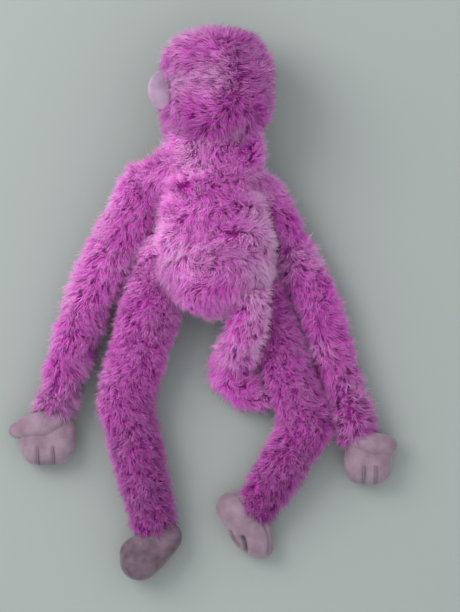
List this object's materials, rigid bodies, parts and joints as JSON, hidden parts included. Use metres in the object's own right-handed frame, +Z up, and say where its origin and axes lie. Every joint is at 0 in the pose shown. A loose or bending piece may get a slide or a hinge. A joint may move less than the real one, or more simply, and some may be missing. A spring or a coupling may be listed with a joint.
{
  "type": "stuffed monkey",
  "caption": "Shaggy long-limbed plush monkey lying face down, with smooth hands, feet, face and ears, jointed soft limbs and a curled tail.",
  "frame": {"origin": "on the surface it lies on, under the middle of its outline", "axes": "+Z up from that surface towards the toy's back, +Y from its feet towards its head, +X towards its right arm"},
  "size_m": [0.352, 0.494, 0.099],
  "materials": {
    "magenta_shag": "long shaggy pile, dark at the roots and pale pink at the tips",
    "mauve_velboa": "short smooth brushed nap",
    "white_fibrefill": "loose white polyester fibre",
    "dark_thread": "twisted sewing thread",
    "black_plastic": "polished",
    "clear_white_plastic": "moulded"
  },
  "bodies": {
    "torso": {"torso_cover": "magenta_shag", "torso_stuffing": "white_fibrefill", "closing_stitches": "dark_thread"},
    "neck": {"neck_cover": "magenta_shag", "neck_stuffing": "white_fibrefill"},
    "head": {"head_cover": "magenta_shag", "head_stuffing": "white_fibrefill", "face_panel": "mauve_velboa", "muzzle_cover": "mauve_velboa", "muzzle_stuffing": "white_fibrefill", "nostril_stitches": "dark_thread", "mouth_stitch": "dark_thread", "eye_left": "black_plastic", "eye_right": "black_plastic", "eye_washers": "clear_white_plastic"},
    "ear_left": {"ear_cover_left": "mauve_velboa", "ear_padding_left": "white_fibrefill"},
    "shoulder_left": {"shoulder_cover_left": "magenta_shag", "shoulder_stuffing_left": "white_fibrefill"},
    "upper_arm_left": {"upper_arm_cover_left": "magenta_shag", "upper_arm_stuffing_left": "white_fibrefill"},
    "forearm_left": {"forearm_cover_left": "magenta_shag", "forearm_stuffing_left": "white_fibrefill"},
    "hand_left": {"hand_cover_left": "mauve_velboa", "hand_stuffing_left": "white_fibrefill", "finger_stitches_left": "dark_thread"},
    "thigh_left": {"thigh_cover_left": "magenta_shag", "thigh_stuffing_left": "white_fibrefill"},
    "shin_left": {"shin_cover_left": "magenta_shag", "shin_stuffing_left": "white_fibrefill"},
    "foot_left": {"foot_cover_left": "mauve_velboa", "foot_stuffing_left": "white_fibrefill"},
    "ear_right": {"ear_cover_right": "mauve_velboa", "ear_padding_right": "white_fibrefill"},
    "shoulder_right": {"shoulder_cover_right": "magenta_shag", "shoulder_stuffing_right": "white_fibrefill"},
    "upper_arm_right": {"upper_arm_cover_right": "magenta_shag", "upper_arm_stuffing_right": "white_fibrefill"},
    "forearm_right": {"forearm_cover_right": "magenta_shag", "forearm_stuffing_right": "white_fibrefill"},
    "hand_right": {"hand_cover_right": "mauve_velboa", "hand_stuffing_right": "white_fibrefill", "finger_stitches_right": "dark_thread"},
    "thigh_right": {"thigh_cover_right": "magenta_shag", "thigh_stuffing_right": "white_fibrefill"},
    "shin_right": {"shin_cover_right": "magenta_shag", "shin_stuffing_right": "white_fibrefill"},
    "foot_right": {"foot_cover_right": "mauve_velboa", "foot_stuffing_right": "white_fibrefill"},
    "tail_1": {"tail_cover_1": "magenta_shag", "tail_stuffing_1": "white_fibrefill"},
    "tail_2": {"tail_cover_2": "magenta_shag", "tail_stuffing_2": "white_fibrefill"},
    "tail_3": {"tail_cover_3": "magenta_shag", "tail_stuffing_3": "white_fibrefill"}
  },
  "joints": [
    {"name": "neck_turn", "type": "hinge", "parent": "torso", "child": "neck", "pos_m": [0.0105, 0.14, 0.046], "axis": [0, 1, 0], "range_deg": [-50, 50]},
    {"name": "head_nod", "type": "hinge", "parent": "neck", "child": "head", "pos_m": [0.0105, 0.14, 0.046], "axis": [1, 0, 0], "range_deg": [-35, 40]},
    {"name": "ear_fold_left", "type": "hinge", "parent": "head", "child": "ear_left", "pos_m": [-0.0355, 0.194, 0.058], "axis": [0, 1, 0], "range_deg": [-30, 30]},
    {"name": "ear_fold_right", "type": "hinge", "parent": "head", "child": "ear_right", "pos_m": [0.064, 0.172, 0.05], "axis": [0, -1, 0], "range_deg": [0, 60]},
    {"name": "shoulder_swing_left", "type": "hinge", "parent": "torso", "child": "shoulder_left", "pos_m": [-0.0465, 0.104, 0.03], "axis": [0, 0, -1], "range_deg": [0, 90]},
    {"name": "shoulder_lift_left", "type": "hinge", "parent": "shoulder_left", "child": "upper_arm_left", "pos_m": [-0.0465, 0.104, 0.03], "axis": [-1, 0, 0], "range_deg": [-75, 50]},
    {"name": "elbow_bend_left", "type": "hinge", "parent": "upper_arm_left", "child": "forearm_left", "pos_m": [-0.1005, 0.013, 0.0165], "axis": [-1, 0, 0], "range_deg": [-75, 60]},
    {"name": "wrist_bend_left", "type": "hinge", "parent": "forearm_left", "child": "hand_left", "pos_m": [-0.1335, -0.092, 0.0145], "axis": [-1, 0, 0], "range_deg": [-60, 60]},
    {"name": "hip_lift_left", "type": "hinge", "parent": "torso", "child": "thigh_left", "pos_m": [-0.0395, 0.024, 0.024], "axis": [-1, 0, 0], "range_deg": [-85, 40]},
    {"name": "knee_bend_left", "type": "hinge", "parent": "thigh_left", "child": "shin_left", "pos_m": [-0.0695, -0.083, 0.0215], "axis": [-1, 0, 0], "range_deg": [-30, 70]},
    {"name": "ankle_bend_left", "type": "hinge", "parent": "shin_left", "child": "foot_left", "pos_m": [-0.0445, -0.191, 0.017], "axis": [-1, 0, 0], "range_deg": [-35, 35]},
    {"name": "shoulder_swing_right", "type": "hinge", "parent": "torso", "child": "shoulder_right", "pos_m": [0.064, 0.1075, 0.029], "axis": [0, 0, 1], "range_deg": [0, 90]},
    {"name": "shoulder_lift_right", "type": "hinge", "parent": "shoulder_right", "child": "upper_arm_right", "pos_m": [0.064, 0.1075, 0.029], "axis": [-1, 0, 0], "range_deg": [-75, 50]},
    {"name": "elbow_bend_right", "type": "hinge", "parent": "upper_arm_right", "child": "forearm_right", "pos_m": [0.1015, 0.007, 0.0155], "axis": [-1, 0, 0], "range_deg": [-75, 60]},
    {"name": "wrist_bend_right", "type": "hinge", "parent": "forearm_right", "child": "hand_right", "pos_m": [0.139, -0.112, 0.014], "axis": [-1, 0, 0], "range_deg": [-60, 60]},
    {"name": "hip_lift_right", "type": "hinge", "parent": "torso", "child": "thigh_right", "pos_m": [0.0495, 0.0185, 0.019], "axis": [-1, 0, 0], "range_deg": [-85, 0]},
    {"name": "knee_bend_right", "type": "hinge", "parent": "thigh_right", "child": "shin_right", "pos_m": [0.095, -0.1056, 0.0183], "axis": [-1, 0, 0], "range_deg": [-30, 70]},
    {"name": "ankle_bend_right", "type": "hinge", "parent": "shin_right", "child": "foot_right", "pos_m": [0.0505, -0.178, 0.015], "axis": [-1, 0, 0], "range_deg": [-35, 35]},
    {"name": "tail_root_lift", "type": "hinge", "parent": "torso", "child": "tail_1", "pos_m": [0.0425, 0.01, 0.057], "axis": [-1, 0, 0], "range_deg": [0, 60]},
    {"name": "tail_middle_lift", "type": "hinge", "parent": "tail_1", "child": "tail_2", "pos_m": [0.0395, -0.02, 0.0515], "axis": [-1, 0, 0], "range_deg": [0, 70]},
    {"name": "tail_tip_swing", "type": "hinge", "parent": "tail_2", "child": "tail_3", "pos_m": [0.0265, -0.051, 0.014], "axis": [0, 0, -1], "range_deg": [0, 50]}
  ]
}
